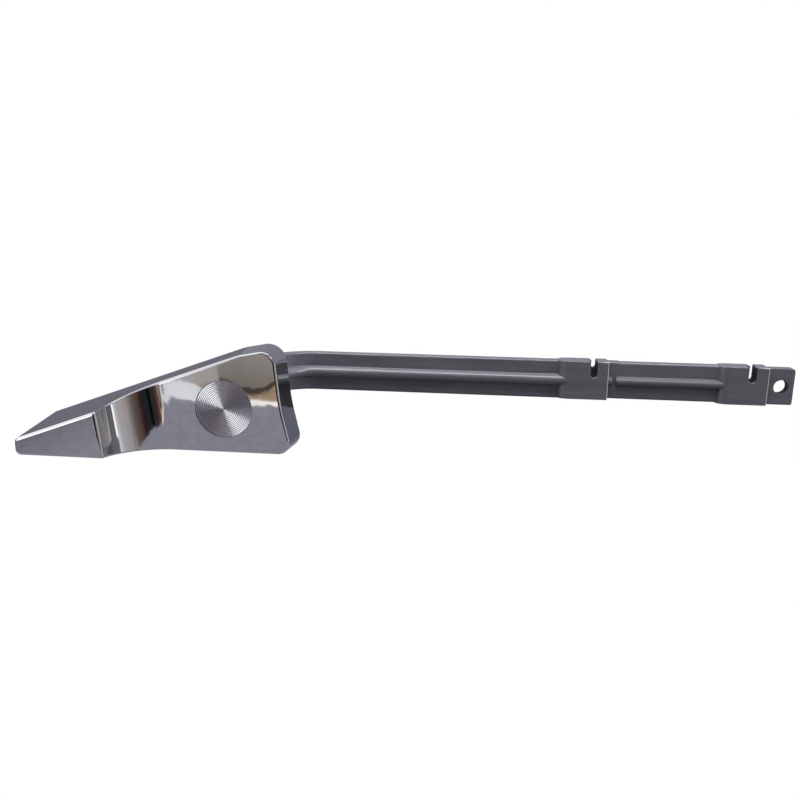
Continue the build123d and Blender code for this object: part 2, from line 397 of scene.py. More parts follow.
# corners of an outline, each turned by an arc that begins radius * tan(half the turn) before it: points,
# and the normals on the path's right side
def roundPath(corners, radii, steps=8, closed=True):
    corners = np.asarray(corners, float)
    into = unit(corners - np.roll(corners, 1, 0))
    out = np.roll(into, -1, 0)
    turn = np.arctan2(into[:, 0] * out[:, 1] - into[:, 1] * out[:, 0], np.sum(into * out, -1))
    radius = np.broadcast_to(np.asarray(radii, float), turn.shape) * np.sign(turn)
    start = corners - into * np.abs(radius * np.tan(turn / 2))[:, None]
    heading = np.arctan2(into[:, 1], into[:, 0])[:, None] + turn[:, None] * np.linspace(0, 1, steps)
    side = join(np.sin(heading), -np.cos(heading))
    points = start[:, None] + radius[:, None, None] * (side - side[:, :1])
    points, side = points.reshape(-1, 2), side.reshape(-1, 2)
    if closed:
        return np.concatenate([points, points[:1]]), np.concatenate([side, side[:1]])
    inner = slice(steps, -steps)
    first, last = out[0, ::-1] * [1, -1], into[-1, ::-1] * [1, -1]
    return (
        np.concatenate([corners[:1], points[inner], corners[-1:]]),
        np.concatenate([[first], side[inner], [last]]),
    )


# the same path with points added at each gap along its length
def dense(path, gap):
    points, side = path
    length = np.cumsum(np.concatenate([[0], np.linalg.norm(np.diff(points, axis=0), axis=1)]))
    places = np.union1d(length, np.arange(0, length[-1], gap))
    places = places[np.concatenate([[True], np.diff(places) > 1e-3])]
    spread = [np.interp(places, length, column) for column in (*points.T, *side.T)]
    return join(*spread[:2]), join(*spread[2:])


# the four corners of a rectangle, walked so that its outside is on the right
def rectangle(left, right, bottom, top):
    return [(left, bottom), (right, bottom), (right, top), (left, top)]


# the rounded edge of an outline at a depth, facing way: moved in by radius (1 - cos t) and away from
# its face by radius (1 - sin t); points and normals
def roundedEdge(points, side, y, way, radius, steps):
    t = np.linspace(0, np.pi / 2, steps)[:, None, None]
    rise = np.sin(t[..., 0])
    grid = atDepth(points - side * (radius * (1 - np.cos(t))), y - way * radius * (1 - rise))
    return grid, atDepth(side * np.cos(t), way * rise)


# an outline in X and Z drawn out along Y, its two edges rounded; ends lists the closed ends, -1 for the
# front and 1 for the rear
def prism(path, front, rear, rounding, closed=True, ends=(-1, 1)):
    points, side = path
    parts = []
    for y, way, radius in ((front, -1, rounding[0]), (rear, 1, rounding[1])):
        grid, normal = roundedEdge(points, side, y, way, radius, 7)
        if radius:
            parts.append(sheet(grid, normal))
        if way in ends:
            parts.append(cap(grid[-1, :-1] if closed else grid[-1], (0, way, 0)))
    wall = [atDepth(points, front + rounding[0]), atDepth(points, rear - rounding[1])]
    parts.append(sheet(wall, atDepth(side, 0)))
    return parts


# a profile of (radius, y) corners, rounded by one small radius and turned round the pivot:
# (radius cos a, y, radius sin a)
def turned(profile, rounding, count=96):
    points, side = roundPath(profile, rounding, 5, closed=False)
    angle = np.linspace(0, 2 * np.pi, count + 1)
    radius, y = points[:, :1], points[:, 1:]
    grid = join(radius * np.cos(angle), y, radius * np.sin(angle))
    normal = join(side[:, :1] * np.cos(angle), side[:, 1:], side[:, :1] * np.sin(angle))
    return [sheet(grid, normal)]


# handle: a wall is (angle of its outward normal, reach at the flat face, draft); the walls follow
# a clockwise walk round the front, and each corner lies between a wall and the next one
handle = {
    "walls": [
        (-90.0, 13.1, 2.3),  # bottom
        (180.0, 57.45, 0.7),  # tip
        (109.8, 13.27, 5.9),  # top
        (101.0, 14.6, 5.7),  # crown
        (6.0, 16.95, 5.6),  # right
        (13.0, 16.75, 5.6),  # heel
    ],
    "radii": [1.6, 1.6, 12.0, 4.2, 70.0, 3.7],  # of the corners, at the flat face
    "widening": [0.0, 0.0, 0.0, 0.12, 0.0, 0.05],  # what a radius gains for each mm towards the rim
    "steps": [10, 10, 12, 24, 24, 24],  # points on each corner
    "faceY": -12.0,
    "rimY": -2.5,
    "crestY": -24.7,
    "wall": 1.7,
    "tipWall": 8.5,
    "bevel": 0.8,  # rounding of the front's edges
    "pinch": 0.45,  # share of the bevel that the middle of the scoop loses
    "brow": 1.1,  # rounding of the paddle's inner edge
    "scoopStart": -17.5,
    "scoopRadius": 15.0,
    "lean": 7.0,  # the scoop's turn from upright, in degrees
    "recess": 8.48,  # radius round the disc
    "recessHole": 2.0,
    "recessRounding": 0.02,
    "recessY": -11.3,
    "hub": 6.6,
    "hubHole": 3.2,
    "hubRounding": 0.3,
    "hubY": -4.8,
    "rib": 0.8,  # half thickness of the ribs
    "ribY": -5.2,
    "ribLeft": -30.0,
    "ribRight": 16.0,
    "ribBottom": -12.2,
    "ribTop": 13.0,
    "ribSink": 0.2,  # what the ribs run into the front's wall
    "ribRounding": 0.05,
    "leastRadius": 0.4,  # of the hollow's corners
    "hollowBevel": 1e-3,
}
lean = math.radians(handle["lean"])
acrossWay = np.array([math.cos(lean), math.sin(lean)])
alongWay = np.array([-math.sin(lean), math.cos(lean)])
forward = np.array([0.0, -1.0, 0.0])


# the rounded corners of the outline at one depth, moved inwards by a wall's thickness: two walls
# a x + b z = reach meet in a corner, and its arc is centre + radius (cos phi, sin phi)
def corners(y, inset, tipInset):
    angle, reach, draft = np.array(handle["walls"]).T
    reach = reach + (y - handle["faceY"]) * np.tan(np.radians(draft)) - inset
    reach[1] += inset - tipInset
    after = np.roll(np.arange(6), -1)
    turn = np.radians((angle[after] - angle + 180) % 360 - 180)
    radius = np.array(handle["radii"]) + (y - handle["faceY"]) * np.array(handle["widening"])
    radius = np.where(turn < 0, np.maximum(radius - inset, handle["leastRadius"]), -(radius + inset))
    angle = np.radians(angle)
    a, b = np.cos(angle), np.sin(angle)
    size = a * b[after] - b * a[after]
    corner = join(reach * b[after] - b * reach[after], a * reach[after] - reach * a[after])
    corner /= size[:, None]
    start = corner - join(b, -a) * np.abs(radius * np.tan(turn / 2))[:, None]
    centre = start - radius[:, None] * join(a, b)
    arcs, facing = [], []
    for i, steps in enumerate(handle["steps"]):
        phi = angle[i] + turn[i] * np.linspace(0, 1, steps)
        arcs.append(centre[i] + radius[i] * join(np.cos(phi), np.sin(phi)))
        facing.append(phi)
    return arcs, facing


# the front's section across the scoop as (s, y) points and normals, moved back by a thickness: the brow
# is an arc, centre + brow * normal, and the scoop a hollow arc, centre - radius * normal, that ends on the
# flat face; both normals are (sin t, -cos t)
def section(back):
    brow, radius = handle["brow"], handle["scoopRadius"] + back
    centre = np.array([handle["scoopStart"], handle["faceY"] - handle["scoopRadius"]])
    browY = handle["crestY"] + back + brow
    reach = math.sqrt((radius + brow) ** 2 - (browY - centre[1]) ** 2)
    sweep = math.atan2(reach, browY - centre[1])
    theta = np.linspace(sweep, 0, 90)
    scoopNormal = join(np.sin(theta), -np.cos(theta))
    phi = np.linspace(0, sweep, 14)
    browNormal = join(np.sin(phi), -np.cos(phi))
    browPoints = np.array([centre[0] - reach, browY]) + brow * browNormal
    return (browPoints, browNormal), (centre - radius * scoopNormal, scoopNormal)


# where a drafted wall meets lines of constant s: its distance from the pivot is reach + the depth behind
# the flat face * tan(draft), and the line is followed until its own distance is the same
def onWall(which, sy, inset):
    angle, reach, draft = handle["walls"][which]
    normal = np.array([math.cos(math.radians(angle)), math.sin(math.radians(angle))])
    distance = reach - inset + (sy[:, 1] - handle["faceY"]) * math.tan(math.radians(draft))
    rise = (distance - sy[:, 0] * (normal @ acrossWay)) / (normal @ alongWay)
    return atDepth(sy[:, :1] * acrossWay + rise[:, None] * alongWay, sy[:, 1])


# the loop where the front meets the walls, region by region: the edge, its direction, the front's
# normal, the step to the bevel's inner end, the step to its outer end, the point on the rim; region 0 is
# the tip, 1 to 4 are paddle, brow, scoop and flat face above, 5 is the nose, 6 to 9 the same four below
def frontLoop(inset, tipInset, back, bevel):
    crestY, faceY, rimY = handle["crestY"] + back, handle["faceY"] + back, handle["rimY"]
    tipArcs, facing = corners(crestY, inset, tipInset)
    faceArcs, facing = corners(faceY, inset, tipInset)
    rimArcs, facing = corners(rimY, inset, tipInset)
    brow, scoop = section(back)

    # the bevel's outer end lies down the wall, square to the edge
    def region(edge, way, front, inner, rim):
        down = rim - edge
        down = bevel * unit(down - np.sum(down * way, -1, keepdims=True) * way)
        return {"edge": edge, "way": way, "front": front, "inner": inner, "rim": rim, "down": down}

    # corners as arcs: way (sin phi, 0, -cos phi), inwards -(cos phi, 0, sin phi)
    def rounded(arcs, y, part):
        edge = atDepth(np.concatenate(arcs[part]), y)
        rim = atDepth(np.concatenate(rimArcs[part]), rimY)
        phi = np.concatenate(facing[part])
        way = join(np.sin(phi), 0, -np.cos(phi))
        inner = -bevel * join(np.cos(phi), 0, np.sin(phi))
        return region(edge, way, forward + 0 * edge, inner, rim)

    tip, nose = rounded(tipArcs, crestY, slice(0, 2)), rounded(faceArcs, faceY, slice(2, 6))
    sides = []
    for which, first, last in ((2, (1, -1), (2, 0)), (0, (0, 0), (5, -1))):
        phi = math.radians(handle["walls"][which][0])
        normal = np.array([math.cos(phi), 0, math.sin(phi)])
        way = np.array([math.sin(phi), 0, -math.cos(phi)])
        step = np.array([alongWay[0], 0, alongWay[1]])
        step = -bevel * step / (step @ normal)
        slide = (step @ way) * way
        fade = np.linspace(0, 1, 12)[:, None]
        start = atDepth(tipArcs[first[0]][[first[1]]], crestY)
        stop = atDepth(faceArcs[last[0]][[last[1]]], faceY)
        crest, foot = onWall(which, brow[0][:1], inset), onWall(which, scoop[0][-1:], inset)
        paddle, flat = start + (crest - start) * fade, foot + (stop - foot) * fade
        rimEnds = rimArcs[first[0]][first[1]], rimArcs[last[0]][last[1]]

        # points on the rim keep the edge's share of the way along the wall
        def rimOf(edge):
            share = (edge - start) @ way / ((stop - start) @ way)
            return atDepth(rimEnds[0] + (rimEnds[1] - rimEnds[0]) * share.reshape(-1, 1), rimY)

        inward = -bevel * normal
        rows = []
        for edge, inner in ((paddle, inward + slide * fade), (flat, inward + slide * (1 - fade))):
            rows.append(region(edge, way + 0 * edge, forward + 0 * edge, inner, rimOf(edge)))
        draft = math.tan(math.radians(handle["walls"][which][2]))
        wallNormal = unit(normal - [0, draft, 0])
        for place, (sy, bend) in ((1, brow), (2, scoop)):
            edge = onWall(which, sy, inset)
            front = join(bend[:, 0] * acrossWay[0], bend[:, 1], bend[:, 0] * acrossWay[1])
            edgeWay = unit(np.cross(front, wallNormal))
            edgeWay *= np.sign(np.sum(edgeWay * way, -1, keepdims=True))
            row = region(edge, edgeWay, front, step + 0 * edge, rimOf(edge))
            # along the scoop the bevel narrows towards its middle
            if place == 2:
                slim = 1 - handle["pinch"] * np.sin(np.linspace(0, np.pi, len(edge)))[:, None]
                row["down"] *= slim
                row["inner"] *= slim
            rows.insert(place, row)
        sides.append(rows)
    under = [{key: value[::-1] for key, value in row.items()} for row in sides[1][::-1]]
    return [tip] + sides[0] + [nose] + under


# front surfaces: straight lines between the loop's inner ends above and below, a cap for the paddle, and
# for the flat face a ring round a circle
def frontSheets(loop, circle, way):
    parts = []
    for high, low in ((2, 8), (3, 7)):
        top = loop[high]["edge"] + loop[high]["inner"]
        bottom = (loop[low]["edge"] + loop[low]["inner"])[::-1]
        parts.append(sheet([top, bottom], way * loop[high]["front"] + 0 * top))
    ends = [row["edge"] + row["inner"] for row in loop]
    parts.append(cap(np.concatenate([ends[9], ends[0][1:], ends[1][1:]]), way * forward))
    rise = ends[6][-1] + (ends[4][0] - ends[6][-1]) * np.linspace(0, 1, 24)[:, None]
    ring = np.concatenate([ends[4], ends[5], ends[6], rise])
    ring, depth = dense((ring[:, [0, 2]], ring[:, [1, 1]]), 0.5)
    ring = atDepth(ring, depth[:, 0])
    spot = unit(ring * [1, 0, 1]) * circle + ring * [0, 1, 0]
    parts.append(sheet([spot, ring], way * forward))
    return parts


# outward normals of the wall below an edge: the way to the rim crossed with the edge's direction, turned
# away from the bevel's inner end
def wallNormals(row):
    normal = unit(np.cross(row["rim"] - row["edge"], row["way"]))
    return -normal * np.sign(np.sum(normal * row["inner"], -1, keepdims=True))


# outside and hollow back; bevel: edge + down (1 - sin t) + inner (1 - cos t), from the wall at 0 to the
# front at 90 degrees
def handleParts():
    loop = frontLoop(0.0, 0.0, 0.0, handle["bevel"])
    hollow = frontLoop(handle["wall"], handle["tipWall"], handle["wall"], handle["hollowBevel"])
    t = np.linspace(0, np.pi / 2, 12)[:, None, None]
    parts = frontSheets(loop, handle["recess"], 1)
    inner = frontSheets(hollow, handle["hub"], -1)
    ends = [row["edge"] + row["down"] for row in loop]
    for rows, which in (((1, 2, 3, 4), 2), ((6, 7, 8, 9), 0)):
        rimEnds = [loop[rows[-1]]["rim"][-1:], loop[rows[0]]["rim"][:1]]
        wall = np.concatenate([ends[row] for row in rows] + rimEnds)
        wall = wall[np.linalg.norm(wall - np.roll(wall, 1, 0), axis=1) > 1e-4]
        angle, draft = np.radians(handle["walls"][which][0]), np.radians(handle["walls"][which][2])
        parts.append(cap(wall, unit([math.cos(angle), -math.tan(draft), math.sin(angle)])))
    for place, (row, inside) in enumerate(zip(loop, hollow)):
        edge, down = row["edge"], row["down"]
        points = edge + down * (1 - np.sin(t)) + row["inner"] * (1 - np.cos(t))
        wallNormal = wallNormals(row)
        normal = unit(wallNormal * np.cos(t) + row["front"] * np.sin(t))
        parts.append(sheet(points, normal))
        if place in (0, 5):
            parts.append(sheet([edge + down, row["rim"]], wallNormal))
        inner.append(sheet([inside["edge"], inside["rim"]], -wallNormals(inside)))
        parts.append(sheet([row["rim"], inside["rim"]], -forward))
    return parts, inner


# the disc's recess, turned into the flat face
def recessParts():
    radius, floorY = handle["recess"], handle["recessY"]
    profile = [(handle["recessHole"], floorY), (radius, floorY), (radius, handle["faceY"])]
    return turned(profile, handle["recessRounding"])


# hub, a level rib whose front follows the scoop's section, and an upright rib
def hubParts():
    hub, hubY, floorY = handle["hub"], handle["hubY"], handle["faceY"] + handle["wall"]
    parts = turned([(hub, floorY), (hub, hubY), (handle["hubHole"], hubY)], handle["hubRounding"])
    half, ribY, sink = handle["rib"], handle["ribY"], handle["ribSink"]
    arc = section(handle["wall"] - sink)[1][0]
    front = np.concatenate([arc[arc[:, 0] > handle["ribLeft"]], [[handle["ribRight"], arc[-1, 1]]]])
    level = join(*front.T, 0)
    rear = level * [1, 0, 1] + [0, ribY, 0]
    upper = np.array([0, 0, half])
    for side in (upper, -upper):
        parts.append(sheet([level + side, rear + side], side / half))
    parts.append(sheet([rear + upper, rear - upper], (0, 1, 0)))
    endFace = np.stack([level[0], rear[0]])
    parts.append(sheet([endFace + upper, endFace - upper], (-1, 0, 0)))
    upright = rectangle(-half, half, handle["ribBottom"], handle["ribTop"])
    return parts + prism(roundPath(upright, handle["ribRounding"], 2), floorY - sink, ribY, (0, 0))


# the plate covers the outside, the rim and the recess, and the hollow back is bare
outside, inside = handleParts()
outside += recessParts()
inside += hubParts()
mesh = makePiece("chrome_handle", outside + inside, chromeMaterial, "handle")
plate, bare = [sum(len(part[0]) for part in side) for side in (outside, inside)]
markPoints(mesh, "bare", np.repeat([0.0, 1.0], [plate, bare]))
print("handle built")


# arm: places along X, tops and bottoms along Z, half thicknesses along Y about the arm's depth
arm = {
    "depth": 48.5,
    "bend": 15.0,  # radius of the bend's middle line
    "rampStart": 26.0,  # the web grows out of the journal between these depths
    "rampEnd": 28.0,
    "journal": 5.0,
    "journalStart": -4.8,
    "journalEnd": 31.0,
    "journalRounding": 0.3,
    "pole": 0.05,  # radius of the innermost row on its ends
    "tenon": 3.5,  # half of its square
    "tenonStart": -8.8,
    "tenonEnd": -4.7,
    "tenonRounding": 0.2,
    "web": 1.8,  # half thickness
    "webRounding": 0.8,
    "first": {"top": 7.0, "bottom": -6.6, "rib": 3.7, "root": 1.95, "crest": 1.55, "nose": 1.8},
    "outer": {"top": 6.8, "bottom": -6.15, "rib": 3.5, "root": 1.65, "crest": 1.25, "nose": 1.5},
    "rootRounding": 0.35,
    "gusset": 9.6,  # from the bend's centre to the straight edge across its corner
    "step": 121.0,  # where the web's height changes
    "notch": (118.9, 120.3),  # gap in the rib
    "lap": 3.0,  # what a length runs into a block's shoulder
    "endLap": 0.5,  # and into a block's end
    "block": 3.75,  # half thickness
    "shoulder": 4.0,
    "blockRounding": 0.3,
    "blockCorner": 0.36,
    "slotRoundness": 0.98,  # share of the slot's half width that rounds its floor
    # floors: of the slot's front and rear half; rear: shift of the rear half's two sides
    "blocks": [
        {
            "start": 100.6, "end": 117.5, "top": 7.05, "bottom": -6.35,
            "slot": 112.45, "width": 2.3, "floors": (1.45, 4.1), "rear": (0.55, 0.0),
        },
        {
            "start": 154.4, "end": 170.5, "top": 6.75, "bottom": -6.3,
            "slot": 165.1, "width": 2.6, "floors": (1.5, 1.5), "rear": (1.25, 0.5),
        },
    ],
    "plate": {"start": 167.0, "end": 179.5, "top": 6.45, "bottom": -6.15},
    "plateCorners": (1.0, 0.7, 1.2, 1.0),
    "plateRounding": 0.3,
    "hole": {"x": 175.3, "radius": 2.42, "lip": 0.1},
    "seams": [(51.6, 2.3, 6.2), (133.4, 2.0, 6.0)],  # place, foot and head
    "seam": {"half": 0.14, "proud": 0.07, "sunk": 0.1, "corner": 0.05, "rounding": 0.056},
}


# cross-section of web and rib, a rounded outline that is the same on both sides: across, then up
def armSection(shape, upright=True, ribbed=True):
    web, rib, root, crest = arm["web"], shape["rib"], shape["root"], shape["crest"]
    right, radii = [], []
    if ribbed:
        right = [(web, -root), (rib, -crest), (rib, crest), (web, root)]
        radii = [arm["rootRounding"], shape["nose"], shape["nose"], arm["rootRounding"]]
    if upright:
        right = [(web, shape["bottom"])] + right + [(web, shape["top"])]
        radii = [arm["webRounding"]] + radii + [arm["webRounding"]]
    left = [(-across, up) for across, up in right[::-1]]
    return roundPath(right + left, radii + radii[::-1], 9)


# the section carried along stations: origin + across * back way + up * stretch; the part of the
# front rib that stands out of the web is multiplied by its deepening
def swept(section, origins, backWays, stretch=1.0, deepening=1.0):
    points, side = section
    stretch = np.broadcast_to(np.asarray(stretch, float), (len(origins),))[:, None]
    deepening = np.broadcast_to(np.asarray(deepening, float), (len(origins),))[:, None]
    standing = np.minimum(points[:, 0] + arm["web"], 0)
    across = points[:, 0] + standing * (deepening - 1)
    grid = origins[:, None] + across[..., None] * backWays[:, None]
    grid[..., 2] += points[:, 1] * stretch
    lean = np.where(standing < 0, side[:, 0] / deepening, side[:, 0])
    upright = side[:, 1] + 0 * deepening
    normal = unit(lean[..., None] * backWays[:, None] + upright[..., None] * np.array([0, 0, 1.0]))
    return sheet(grid, normal)


# a straight length of one section along the arm, closed at its ends
def bar(section, start, end):
    origins = np.array([[start, arm["depth"], 0], [end, arm["depth"], 0]])
    way = np.array([[0, 1.0, 0], [0, 1.0, 0]])
    parts = [swept(section, origins, way)]
    points = section[0][:-1]
    for x, facing in ((start, -1), (end, 1)):
        face = join(x, arm["depth"] + points[:, 0], points[:, 1])
        parts.append(cap(face, (facing, 0, 0)))
    return parts


# block: a sloped shoulder, then a front and a rear half with the slot cut down from the top
def blockParts(block):
    wide, depth, rounding = arm["block"], arm["depth"], arm["blockRounding"]
    start, end = block["start"] + arm["shoulder"], block["end"]
    top, bottom, width = block["top"], block["bottom"], block["width"]
    parts = []
    for front, rear, floor, shift, edges in (
        (depth - wide, depth, block["floors"][0], (0.0, 0.0), (rounding, 0.0)),
        (depth, depth + wide, block["floors"][1], block["rear"], (0.0, rounding)),
    ):
        left, right = block["slot"] - width / 2 + shift[0], block["slot"] + width / 2 + shift[1]
        path = [(start, bottom), (end, bottom), (end, top), (right, top)]
        path += [(right, floor), (left, floor), (left, top), (start, top)]
        half, turn = (right - left) / 2 * arm["slotRoundness"], arm["blockCorner"]
        path = roundPath(path, [0, turn, turn, turn, half, half, turn, 0], 10, closed=False)
        parts += prism(path, front, rear, edges, False, (-1, 1) if edges[1] else (-1,))
    # shoulder: half thickness = web + (block - web) sqrt(1 - (1 - u)^2), with u from nearly 0, where the
    # slope still has an end, to 1
    shares = np.linspace(0, 1, 16)
    shares[0] = 0.004
    rows, normals = [], []
    for share in shares:
        swell = math.sqrt(1 - (1 - share) ** 2)
        half = arm["web"] + (wide - arm["web"]) * swell
        rise = (wide - arm["web"]) * (1 - share) / swell / arm["shoulder"]
        outline = [(half, bottom), (half, top), (-half, top), (-half, bottom)]
        points, side = roundPath(outline, rounding)
        x = block["start"] + share * arm["shoulder"]
        rows.append(join(x, depth + points[:, 0], points[:, 1]))
        normals.append(unit(join(-rise * np.abs(side[:, 0]), side[:, 0], side[:, 1])))
    parts.append(sheet(rows, normals))
    return parts


# end plate: rings from the hole's edge to the rounded outline, front and rear
def plateParts():
    plate, hole, rounding = arm["plate"], arm["hole"], arm["plateRounding"]
    front, rear = arm["depth"] - arm["web"], arm["depth"] + arm["web"]
    outline = rectangle(plate["start"], plate["end"], plate["bottom"], plate["top"])
    points, side = dense(roundPath(outline, arm["plateCorners"], 12), 0.4)
    middle = np.array([hole["x"], 0.0])
    ray = unit(points - middle)
    edges = ((points, side, rounding), (middle + ray * hole["radius"], -ray, hole["lip"]))
    parts = []
    for y, way in ((front, -1), (rear, 1)):
        rings = []
        for ring, normals, radius in edges:
            grid, facing = roundedEdge(ring, normals, y, way, radius, 6)
            parts.append(sheet(grid, facing))
            rings.append(grid[-1])
        parts.append(sheet(rings[::-1], (0, way, 0)))
    for ring, normals, radius in edges:
        rows = [atDepth(ring, front + radius), atDepth(ring, rear - radius)]
        parts.append(sheet(rows, atDepth(normals, 0)))
    return parts


# the whole arm: bend (r - r cos a, start + r sin a), with journal, tenon, lengths, blocks, plate and seams
def armParts():
    first, outer = arm["first"], arm["outer"]
    bend, depth = arm["bend"], arm["depth"]
    start = depth - bend
    # shaft, bend and first length as one sweep
    angle = np.linspace(0, np.pi / 2, 30)
    turn = join(bend - bend * np.cos(angle), start + bend * np.sin(angle), 0)
    backWay = join(-np.cos(angle), np.sin(angle), 0)
    inner, farther = arm["blocks"]
    along = np.linspace(bend, inner["start"] + arm["lap"], 40)[1:, None]
    straight = along * [1, 0, 0] + [0, depth, 0]
    origins = np.concatenate([[[0, arm["rampStart"], 0], [0, arm["rampEnd"], 0]], turn, straight])
    onward = np.repeat(backWay[-1:], len(straight), 0)
    backWays = np.concatenate([backWay[:1], backWay[:1], backWay, onward])
    stretch = np.ones(len(origins))
    stretch[0] = arm["journal"] / first["top"]
    # inside the bend the rib's edge takes the straight way across the corner
    reach = bend - arm["gusset"] / np.cos(angle - np.pi / 4)
    deepening = np.ones(len(origins))
    deepening[2 : 2 + len(angle)] = np.maximum((reach - arm["web"]) / (first["rib"] - arm["web"]), 1)
    parts = [swept(armSection(first), origins, backWays, stretch, deepening)]
    journal, foot, head = arm["journal"], arm["journalStart"], arm["journalEnd"]
    profile = [(arm["pole"], foot), (journal, foot), (journal, head), (arm["pole"], head)]
    parts += turned(profile, arm["journalRounding"])
    half, rounding = arm["tenon"], arm["tenonRounding"]
    tenon = roundPath(rectangle(-half, half, -half, half), rounding, 4)
    parts += prism(tenon, arm["tenonStart"], arm["tenonEnd"], (rounding, 0.0))
    # lengths between and beyond the blocks
    lapped, bead = inner["end"] - arm["endLap"], armSection(outer, upright=False)
    parts += bar(armSection({**first, "bottom": outer["bottom"]}, ribbed=False), lapped, arm["step"])
    parts += bar(bead, lapped, arm["notch"][0])
    parts += bar(bead, arm["notch"][1], arm["step"])
    parts += bar(armSection(outer), arm["step"], farther["start"] + arm["lap"])
    for block in arm["blocks"]:
        parts += blockParts(block)
    parts += plateParts()
    # faint upright seams where the mould's inserts meet, on the front of the web
    seam, face = arm["seam"], arm["depth"] - arm["web"]
    for x, foot, head in arm["seams"]:
        strip = roundPath(rectangle(x - seam["half"], x + seam["half"], foot, head), seam["corner"], 3)
        edges = (seam["rounding"], 0.0)
        parts += prism(strip, face - seam["proud"], face + seam["sunk"], edges, ends=(-1,))
    return parts


# amounts of painted shade and dulling, and how far each place reaches past its walls or stays inside them
shadeAndDullingPlaces = {
    "slot": 0.85,
    "slotPast": 0.02,
    "slotBelow": 0.05,
    "slotMouth": 0.2,
    "slotFace": 0.15,
    "rib": 0.3,
    "ribBefore": 2.0,
    "ribFoot": 0.1,
    "ribHalf": 2.0,
    "hole": 0.6,
    "holePast": 0.02,
}


# darkening and dulling at each point, 0 in most places: painted shade deep in the slots and in the end
# hole, and a little darker and duller along the outer rib
def shadeAndDullingOf(spots):
    x, y, z = spots.T
    shadeAndDulling = np.zeros(len(spots))
    inside = np.abs(y - arm["depth"]) < arm["block"] - shadeAndDullingPlaces["slotFace"]
    for block in arm["blocks"]:
        left = block["slot"] - block["width"] / 2 - shadeAndDullingPlaces["slotPast"]
        right = block["slot"] + block["width"] / 2 + block["rear"][1] + shadeAndDullingPlaces["slotPast"]
        low, high = min(block["floors"]) - shadeAndDullingPlaces["slotBelow"], block["top"] - shadeAndDullingPlaces["slotMouth"]
        shadeAndDulling[inside & (x > left) & (x < right) & (z > low) & (z < high)] = shadeAndDullingPlaces["slot"]
    start = arm["notch"][0] - shadeAndDullingPlaces["ribBefore"]
    end = arm["blocks"][1]["start"] + arm["shoulder"]
    proud = y < arm["depth"] - arm["web"] - shadeAndDullingPlaces["ribFoot"]
    shadeAndDulling[proud & (x > start) & (x < end) & (np.abs(z) < shadeAndDullingPlaces["ribHalf"])] = shadeAndDullingPlaces["rib"]
    hole = arm["hole"]
    shadeAndDulling[np.hypot(x - hole["x"], z) < hole["radius"] + shadeAndDullingPlaces["holePast"]] = shadeAndDullingPlaces["hole"]
    return shadeAndDulling


# how far the painted highlight stays inside the rounding, and how far it reaches past it
edgeHighlightReach = {"front": 0.005, "rear": 0.02, "past": 0.01, "before": 0.1}


# painted highlight at each point: 1 within the rounding of the front edge at each block's outer end, 0
# elsewhere
def edgeHighlightOf(spots):
    edgeHighlight = np.zeros(len(spots))
    front, rounding = arm["depth"] - arm["block"], arm["blockRounding"]
    behind = spots[:, 1] - front
    rounded = (behind > edgeHighlightReach["front"]) & (behind < rounding - edgeHighlightReach["rear"])
    for block in arm["blocks"]:
        before = block["end"] - spots[:, 0]
        edgeHighlight[rounded & (before > -edgeHighlightReach["past"]) & (before < rounding + edgeHighlightReach["before"])] = 1.0
    return edgeHighlight


parts = armParts()
mesh = makePiece("arm_moulding", parts, armPlastic, "lever_arm")
spots = np.concatenate([part[0] for part in parts])
# painted shade in the slots and the end hole, and a darker, duller outer rib
markPoints(mesh, "shadeAndDulling", shadeAndDullingOf(spots))
# painted highlight along each block's outer front edge
markPoints(mesh, "edgeHighlight", edgeHighlightOf(spots))
print("arm built")

# spun disc: a shallow turned cap; its front is a row of pointed grooves, front + the groove's depth times
# arccos(sharpness cos(radius over pitch)) over pi, drawn coarser than a lathe cuts so that they show
disc = {
    "radius": 8.4,
    "front": -12.0,
    "rear": -11.3,
    "rim": 0.05,  # outside the grooves
    "rounding": 0.049,
    "pitch": 0.5,
    "groove": 0.055,  # depth
    "sharpness": 0.97,
    "rows": 12,  # points across a groove
    "count": 192,  # points round the disc
    "pole": 0.005,  # radius of the innermost row
}


# rim, then the grooves: (radius cos a, depth, radius sin a)
def discParts():
    edge = disc["radius"] - disc["rim"]
    rim = [(edge, disc["front"]), (disc["radius"], disc["front"]), (disc["radius"], disc["rear"])]
    parts = turned(rim, disc["rounding"], disc["count"])
    radius = np.linspace(disc["pole"], edge, int(edge / disc["pitch"] * disc["rows"]))[:, None]
    angle = np.linspace(0, 2 * np.pi, disc["count"] + 1)
    wave = 2 * np.pi * (edge - radius) / disc["pitch"]
    swing = disc["sharpness"] * np.cos(wave)
    depth = disc["front"] + disc["groove"] * np.arccos(swing) / np.pi
    slope = disc["sharpness"] * np.sin(wave) / np.sqrt(1 - swing**2)
    slope *= -2 * disc["groove"] / disc["pitch"]
    grid = join(radius * np.cos(angle), depth, radius * np.sin(angle))
    normal = unit(join(slope * np.cos(angle), -1, slope * np.sin(angle)))
    return parts + [sheet(grid, normal)]


makePiece("disc_cap", discParts(), spunMaterial, "spun_disc")
print("disc built")

# bushing: flange with two stop lugs, square neck, sleeve with a left-hand thread, bore
bushing = {
    "front": -4.4,
    "seat": -2.2,  # where the gasket lies
    "neckEnd": 5.6,
    "end": 24.0,
    "flange": 11.0,
    "neck": 7.8,  # half of its square
    "neckCorner": 3.0,
    "bore": 5.08,
    "crest": 7.7,
    "root": 7.0,
    "pitch": 2.0,
    "flank": 2.4,  # steepness of the thread's sides
    "valley": 0.7,  # what its triangle wave is lowered by
    "threadLap": 0.4,  # what the thread runs into the neck
    "threadStep": 0.1,
    "threadCount": 120,
    "chamfer": 0.9,
    "lugs": [(-122.1, -96.1), (-53.9, -27.9)],  # in degrees
    "lugInner": 8.2,
    "lugOuter": 10.6,
    "lugFront": -6.8,
    "lugCorner": 0.3,
    "rounding": 0.2,
}


